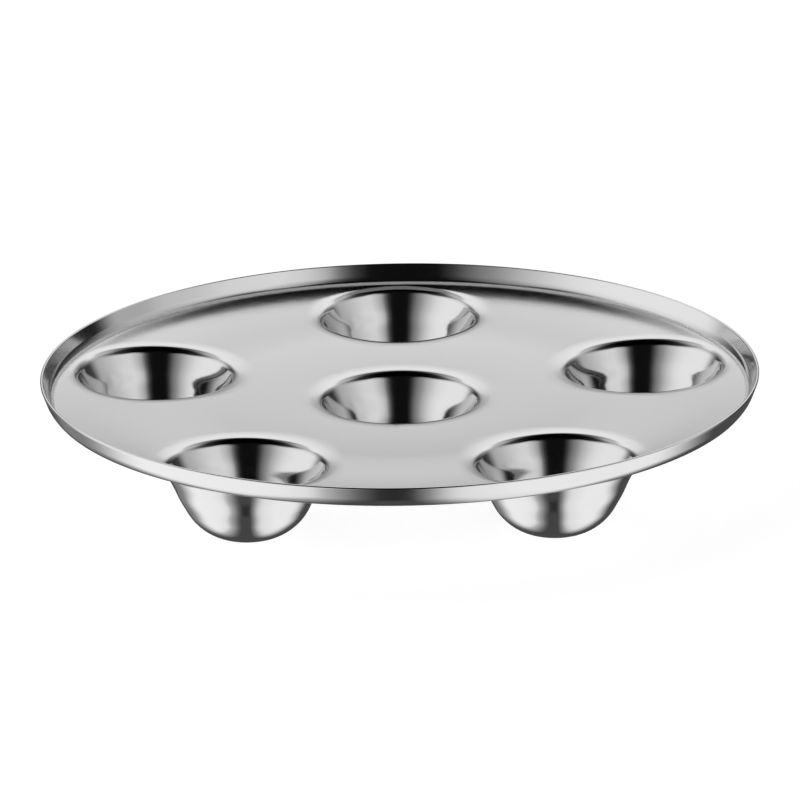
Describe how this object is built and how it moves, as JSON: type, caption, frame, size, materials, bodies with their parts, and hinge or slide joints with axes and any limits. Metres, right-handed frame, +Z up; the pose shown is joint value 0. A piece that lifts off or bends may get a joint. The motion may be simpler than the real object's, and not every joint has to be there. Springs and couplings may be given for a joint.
{
  "type": "escargot plate",
  "caption": "Round pressed steel plate with a low flared rim, a slightly dished floor and deep round wells that hold snails, one in the middle and the others in a ring.",
  "frame": {"origin": "middle of the surface that the wells stand on", "axes": "+Z up, +Y towards the back, through one well of the ring"},
  "size_m": [0.1598, 0.1598, 0.0219],
  "materials": {
    "steel": "satin floor, polished wells and rim"
  },
  "bodies": {
    "root": {"plate": "steel"}
  },
  "joints": []
}
